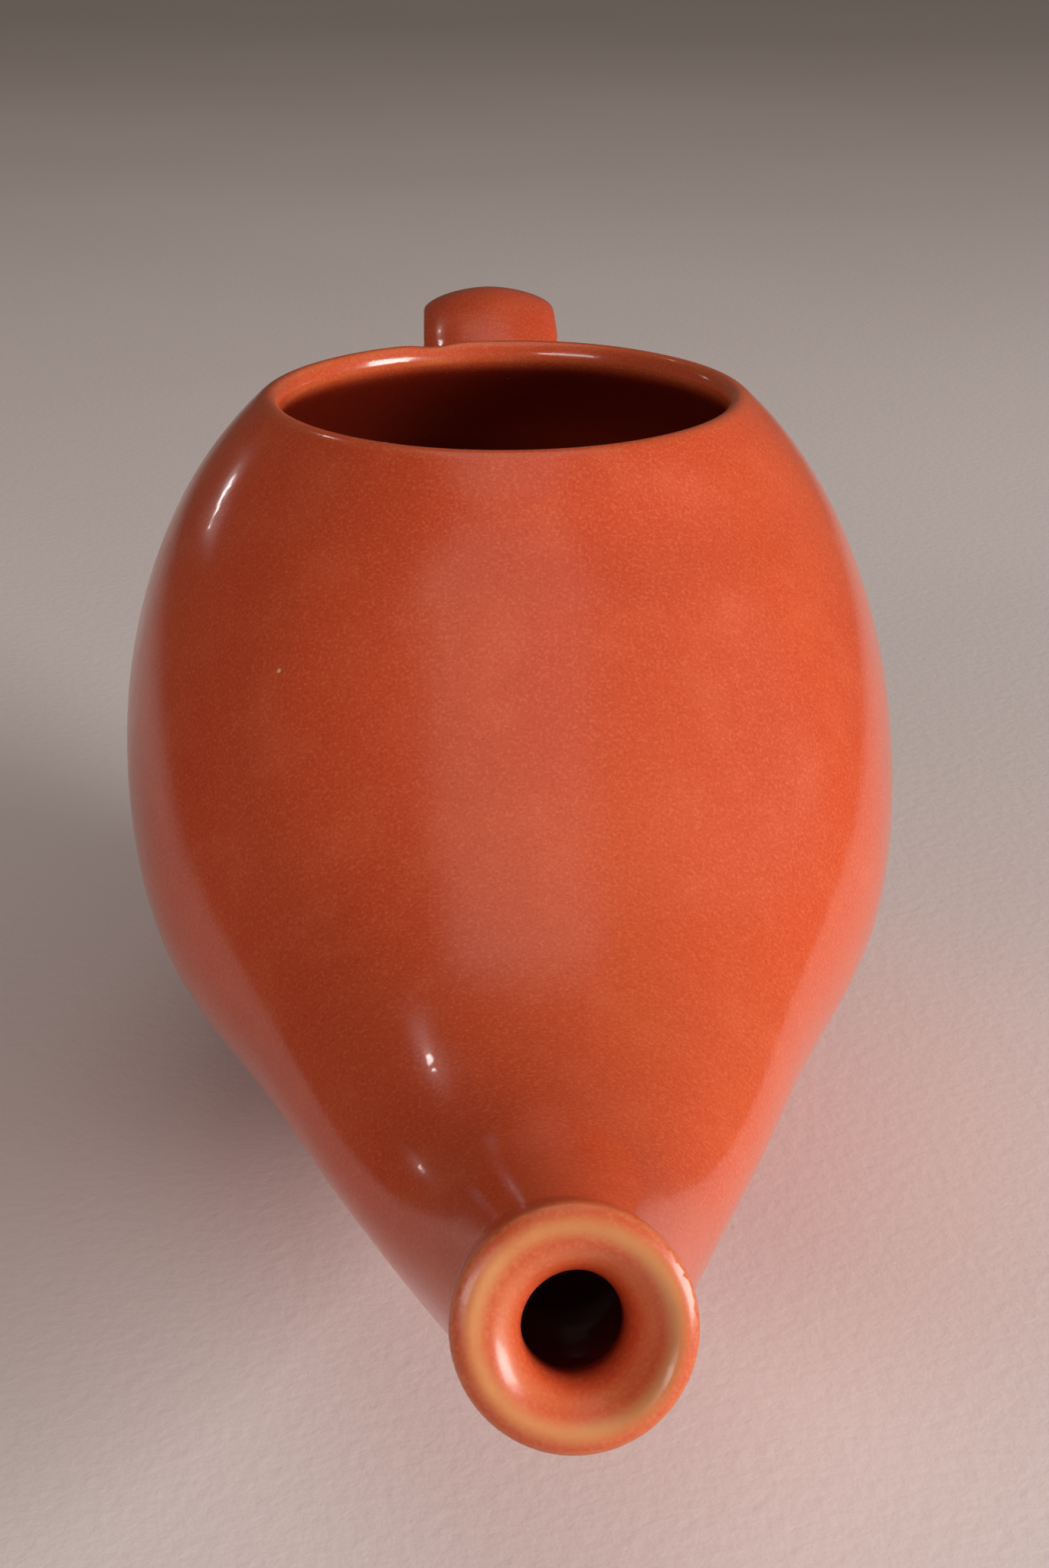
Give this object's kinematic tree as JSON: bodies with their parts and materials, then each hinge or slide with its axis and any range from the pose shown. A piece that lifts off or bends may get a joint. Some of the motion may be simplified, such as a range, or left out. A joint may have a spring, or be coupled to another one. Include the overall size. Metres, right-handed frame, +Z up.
{
  "type": "spouted pitcher",
  "caption": "Small glazed pitcher with an egg-shaped bulb, a round top opening, a tapered pouring spout and a strap loop handle.",
  "frame": {"origin": "on the resting plane, straight below the centre of the round opening", "axes": "+Z up, -Y the way the spout points, X = 0 the mirror plane"},
  "size_m": [0.086, 0.1919, 0.081],
  "materials": {
    "glaze": "gloss coral-red glaze",
    "thin_glaze": "gloss glaze, thinner and paler at the edges",
    "bare_clay": "matt unglazed clay"
  },
  "bodies": {
    "root": {"body": "glaze", "rim": "glaze", "spout": "glaze", "spout_lip": "thin_glaze", "handle": "glaze", "foot_ring": "bare_clay"}
  },
  "joints": []
}
